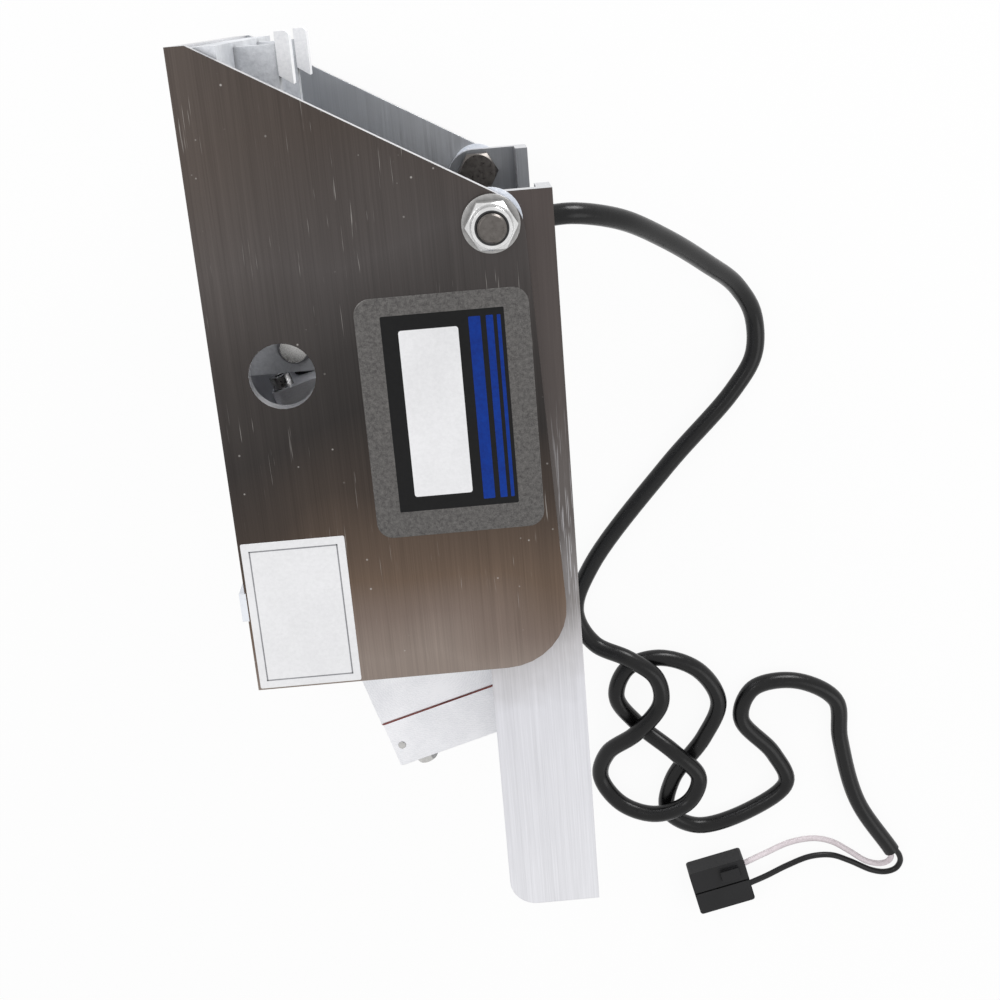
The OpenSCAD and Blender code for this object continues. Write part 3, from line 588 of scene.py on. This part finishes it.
def ring(name, r0, r1, z0, z1, material, body, slot, sides=64):
    """A ring round the hinge axis with a rounded top."""
    bm = bmesh.new()
    crown = (z1 - z0) * 0.3
    shoulder = (r1 - r0) * 0.2
    side = [(r0, z0), (r0, z1 - crown), (r0 + shoulder, z1), (r1 - shoulder, z1),
            (r1, z1 - crown), (r1, z0)]
    rows = []
    for k in range(sides):
        a = 2 * math.pi * k / sides
        rows.append([bm.verts.new(at(r * math.cos(a), r * math.sin(a), MID + z)) for r, z in side])
    for a, b in zip(rows, rows[1:] + rows[:1]):
        join(bm, a, b)
    return new_piece(name, bm, material, body)


# A dark ring of painted shade in the gap at the top of each lock nut's collar
NUT_SHADE_R = (6.02, 7.0)
NUT_SHADE_Z = (118.8, 119.45)      # from the middle plane
for name, span in (("nut_gap_shade_near", NUT_SHADE_Z), ("nut_gap_shade_far", (-NUT_SHADE_Z[1], -NUT_SHADE_Z[0]))):
    ring(name, *NUT_SHADE_R, *span, RUBBER, "transom_side", "black_rubber")

# Floor, world and lamps. Camera and mirror rays see a brighter floor and world than the light has

FLOOR_SIZE = 40.0
FLOOR_DROP = 0.0003         # below the table plane, clear of the pieces that lie on it
FLOOR_GLOW = 0.93           # the share of plain white in the floor that is seen
WORLD_LIGHT, WORLD_SEEN = 0.6, 1.0


def clean_tree(owner, kind):
    """The owner's node tree, emptied, with its output and Light Path nodes."""
    owner.use_nodes = True
    tree = owner.node_tree
    tree.nodes.clear()
    return (tree, tree.nodes.new("ShaderNodeOutput" + kind),
            tree.nodes.new("ShaderNodeLightPath"))


def most(tree, values):
    """The largest of some values."""
    top = values[0]
    for v in values[1:]:
        n = tree.nodes.new("ShaderNodeMath")
        n.operation = "MAXIMUM"
        tree.links.new(top, n.inputs[0])
        tree.links.new(v, n.inputs[1])
        top = n.outputs[0]
    return top


def between(tree, v, low, high):
    """A value from 0 to 1 as one from low to high."""
    n = tree.nodes.new("ShaderNodeMapRange")
    tree.links.new(v, n.inputs["Value"])
    n.inputs["To Min"].default_value = low
    n.inputs["To Max"].default_value = high
    return n.outputs[0]


bm = bmesh.new()
bmesh.ops.create_grid(bm, x_segments=2, y_segments=2, size=FLOOR_SIZE)
mesh = bpy.data.meshes.new("floor")
bm.to_mesh(mesh)
bm.free()
floor = bpy.data.objects.new("floor", mesh)
scene.collection.objects.link(floor)
floor.location = (0, 0, -FLOOR_DROP)
pale = bpy.data.materials.new("floor_white")
tree, out, path = clean_tree(pale, "Material")
diffuse = tree.nodes.new("ShaderNodeBsdfDiffuse")
diffuse.inputs["Color"].default_value = (0.9, 0.9, 0.9, 1)
glow = tree.nodes.new("ShaderNodeEmission")
glow.inputs["Color"].default_value = (1, 1, 1, 1)
mixer = tree.nodes.new("ShaderNodeMixShader")
seen = most(tree, [path.outputs["Is Camera Ray"], path.outputs["Is Glossy Ray"]])
tree.links.new(between(tree, seen, 0.0, FLOOR_GLOW), mixer.inputs[0])
tree.links.new(diffuse.outputs[0], mixer.inputs[1])
tree.links.new(glow.outputs[0], mixer.inputs[2])
tree.links.new(mixer.outputs[0], out.inputs["Surface"])
mesh.materials.append(pale)

world = bpy.data.worlds.new("studio")
scene.world = world
tree, out, path = clean_tree(world, "World")
sky = tree.nodes.new("ShaderNodeBackground")
sky.inputs["Color"].default_value = (1, 1, 1, 1)
seen = most(tree, [path.outputs["Is Camera Ray"], path.outputs["Is Glossy Ray"],
                   path.outputs["Is Transmission Ray"]])
tree.links.new(between(tree, seen, WORLD_LIGHT, WORLD_SEEN), sky.inputs["Strength"])
tree.links.new(sky.outputs[0], out.inputs["Surface"])


def lamp(name, place, target, size, power):
    """A round soft lamp. Places and size are in metres, power in watts."""
    data = bpy.data.lights.new(name, "AREA")
    data.shape = "DISK"
    data.size = size
    data.energy = power
    o = bpy.data.objects.new(name, data)
    scene.collection.objects.link(o)
    o.location = place
    o.rotation_euler = (Vector(target) - Vector(place)).to_track_quat("-Z", "Y").to_euler()


lamp("key", (-0.9, 0.7, 1.5), (0, 0, 0.1), 0.9, 9)
lamp("fill", (1.2, -0.5, 1.3), (0, 0, 0.1), 1.1, 4)
lamp("top", (0.7, 1.2, 0.32), (-0.04, 0.07, 0.12), 0.7, 11)

scene.view_settings.view_transform = "Standard"
